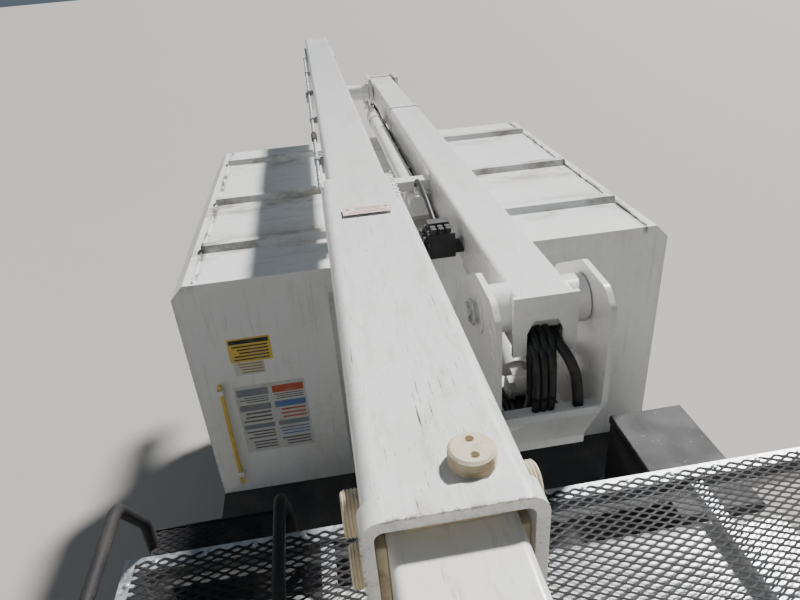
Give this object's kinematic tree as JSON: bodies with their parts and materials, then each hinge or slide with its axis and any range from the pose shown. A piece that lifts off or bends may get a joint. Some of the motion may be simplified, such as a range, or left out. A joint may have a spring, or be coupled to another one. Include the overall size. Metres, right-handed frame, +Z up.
{
  "type": "cherry picker truck with chip box",
  "caption": "Medium truck with an over-cab guard, chip box and a swinging two-boom lift with a side-hung bucket, stowed for the road.",
  "frame": {"origin": "middle of the bounding box, on the ground", "axes": "+X forward, +Y to the truck's left, +Z up"},
  "size_m": [8.28, 2.451, 3.4599],
  "materials": {
    "white_paint": "gloss, weathered",
    "boom_paint": "gloss, scuffed",
    "boom_fibreglass": "aged gelcoat",
    "black_paint": "satin, worn",
    "frame_paint": "satin",
    "galvanised": "dull zinc",
    "cast_iron": "rough",
    "wheel_steel": "gloss",
    "tyre": "matte",
    "glass": "clear",
    "black_plastic": "grained",
    "lamp_lens": "clear lens",
    "nylon": "turned",
    "chrome_rod": "hard chrome",
    "bucket_fibreglass": "gelcoat",
    "tank_aluminium": "brushed",
    "chrome_bumper": "gloss"
  },
  "bodies": {
    "chassis": {"frame_rails": "frame_paint", "leaf_springs": "frame_paint", "front_axle": "cast_iron", "rear_axle": "cast_iron", "drive_line": "cast_iron", "fuel_tank": "tank_aluminium", "cab_shell": "white_paint", "cab_glass": "glass", "cab_interior": "black_plastic", "front_fenders": "white_paint", "grille": "black_plastic", "lamps": "lamp_lens", "front_bumper": "chrome_bumper", "subframe": "frame_paint", "deck": "black_paint", "side_boxes": "white_paint", "tool_box": "black_paint", "chip_box": "white_paint", "hitch": "frame_paint", "outrigger_sockets": "frame_paint", "cab_guard": "galvanised", "guard_mesh": "black_paint", "access_ladder": "black_paint", "pedestal": "white_paint", "boom_rest": "black_paint"},
    "knuckle_left": {"knuckle_left": "cast_iron"},
    "knuckle_right": {"knuckle_right": "cast_iron"},
    "wheel_front_left": {"rim_front_left": "wheel_steel", "tyre_front_left": "tyre"},
    "wheel_front_right": {"rim_front_right": "wheel_steel", "tyre_front_right": "tyre"},
    "wheels_rear_left": {"rims_rear_left": "wheel_steel", "tyres_rear_left": "tyre"},
    "wheels_rear_right": {"rims_rear_right": "wheel_steel", "tyres_rear_right": "tyre"},
    "door_left": {"door_left": "white_paint", "door_glass_left": "glass"},
    "door_right": {"door_right": "white_paint", "door_glass_right": "glass"},
    "hood": {"hood": "white_paint"},
    "tool_box_lid": {"tool_box_lid": "black_paint"},
    "tail_door_left": {"tail_door_left": "white_paint"},
    "tail_door_right": {"tail_door_right": "white_paint"},
    "outrigger_left": {"outrigger_leg_left": "frame_paint"},
    "outrigger_right": {"outrigger_leg_right": "frame_paint"},
    "turret": {"turret": "boom_paint"},
    "lift_barrel": {"lift_barrel": "boom_paint"},
    "lift_rod": {"lift_rod": "chrome_rod"},
    "lower_boom": {"lower_boom": "boom_paint", "lower_boom_tip": "boom_fibreglass", "elbow_cylinder": "boom_paint"},
    "elbow_rod": {"elbow_rod": "chrome_rod"},
    "elbow": {"elbow": "boom_paint"},
    "upper_boom": {"upper_boom": "boom_paint", "wear_pads": "nylon"},
    "inner_boom": {"inner_boom": "boom_fibreglass"},
    "bucket": {"bucket": "bucket_fibreglass", "bucket_bracket": "boom_paint"}
  },
  "joints": [
    {"name": "swing", "type": "hinge", "parent": "chassis", "child": "turret", "pos_m": [0.31, 0, 1.95], "axis": [0, 0, 1], "continuous": true},
    {"name": "lift", "type": "hinge", "parent": "turret", "child": "lower_boom", "pos_m": [0.55, 0.195, 2.54], "axis": [0, 1, 0], "range_deg": [0, 80]},
    {"name": "lift_barrel_turn", "type": "hinge", "parent": "turret", "child": "lift_barrel", "pos_m": [0.41, 0.195, 2.1], "axis": [0, 1, 0], "range_deg": [0, 61.91]},
    {"name": "lift_rod_slide", "type": "slide", "parent": "lift_barrel", "child": "lift_rod", "axis": [-0.9432, 0, 0.3321], "range_m": [0, 0.50751]},
    {"name": "elbow_level", "type": "hinge", "parent": "lower_boom", "child": "elbow", "pos_m": [-3.51, 0.195, 2.52], "axis": [0, 1, 0], "range_deg": [-80.2, 0]},
    {"name": "unfold", "type": "hinge", "parent": "elbow", "child": "upper_boom", "pos_m": [-3.51, -0.335, 2.52], "axis": [0, -1, 0], "range_deg": [0, 160]},
    {"name": "elbow_rod_slide", "type": "slide", "parent": "lower_boom", "child": "elbow_rod", "axis": [1, 0, 0], "range_m": [0, 0.2104]},
    {"name": "extend", "type": "slide", "parent": "upper_boom", "child": "inner_boom", "axis": [1, 0, 0], "range_m": [0, 1]},
    {"name": "bucket_level", "type": "hinge", "parent": "inner_boom", "child": "bucket", "pos_m": [2.56, -0.45, 2.77], "axis": [0, -1, 0], "range_deg": [-160.2, 0]},
    {"name": "steer_left", "type": "hinge", "parent": "chassis", "child": "knuckle_left", "pos_m": [3.17, 0.842, 0.405], "axis": [0, 0, 1], "range_deg": [-35, 35]},
    {"name": "steer_right", "type": "hinge", "parent": "chassis", "child": "knuckle_right", "pos_m": [3.17, -0.842, 0.405], "axis": [0, 0, 1], "range_deg": [-35, 35]},
    {"name": "roll_front_left", "type": "hinge", "parent": "knuckle_left", "child": "wheel_front_left", "pos_m": [3.17, 0.95, 0.405], "axis": [0, 1, 0], "continuous": true},
    {"name": "roll_front_right", "type": "hinge", "parent": "knuckle_right", "child": "wheel_front_right", "pos_m": [3.17, -0.95, 0.405], "axis": [0, 1, 0], "continuous": true},
    {"name": "roll_rear_left", "type": "hinge", "parent": "chassis", "child": "wheels_rear_left", "pos_m": [-1.69, 0.945, 0.405], "axis": [0, 1, 0], "continuous": true},
    {"name": "roll_rear_right", "type": "hinge", "parent": "chassis", "child": "wheels_rear_right", "pos_m": [-1.69, -0.945, 0.405], "axis": [0, 1, 0], "continuous": true},
    {"name": "door_left_open", "type": "hinge", "parent": "chassis", "child": "door_left", "pos_m": [2.646, 1.02, 1.2], "axis": [0, 0, -1], "range_deg": [0, 65]},
    {"name": "door_right_open", "type": "hinge", "parent": "chassis", "child": "door_right", "pos_m": [2.646, -1.02, 1.2], "axis": [0, 0, 1], "range_deg": [0, 65]},
    {"name": "hood_open", "type": "hinge", "parent": "chassis", "child": "hood", "pos_m": [2.966, 0, 1.478], "axis": [0, -1, 0], "range_deg": [0, 50]},
    {"name": "tool_box_lid_open", "type": "hinge", "parent": "chassis", "child": "tool_box_lid", "pos_m": [0.275, 0.842, 1.3953], "axis": [1, 0, 0], "range_deg": [0, 95]},
    {"name": "tail_door_left_open", "type": "hinge", "parent": "chassis", "child": "tail_door_left", "pos_m": [-2.736, 1.212, 1.6], "axis": [0, 0, -1], "range_deg": [0, 180]},
    {"name": "tail_door_right_open", "type": "hinge", "parent": "chassis", "child": "tail_door_right", "pos_m": [-2.736, -1.212, 1.6], "axis": [0, 0, 1], "range_deg": [0, 180]},
    {"name": "outrigger_left_down", "type": "slide", "parent": "chassis", "child": "outrigger_left", "axis": [0, 0, -1], "range_m": [0, 0.325]},
    {"name": "outrigger_right_down", "type": "slide", "parent": "chassis", "child": "outrigger_right", "axis": [0, 0, -1], "range_m": [0, 0.325]}
  ],
  "couplings": [
    {"joint": "lift_barrel_turn", "follows": "lift", "ratio": 0.77134},
    {"joint": "lift_rod_slide", "follows": "lift", "m_per_rad": 0.36276},
    {"joint": "elbow_level", "follows": "lift", "ratio": -1},
    {"joint": "elbow_rod_slide", "follows": "unfold", "m_per_rad": 0.075},
    {"joint": "bucket_level", "follows": "unfold", "ratio": -1},
    {"joint": "steer_right", "follows": "steer_left", "ratio": 1}
  ]
}
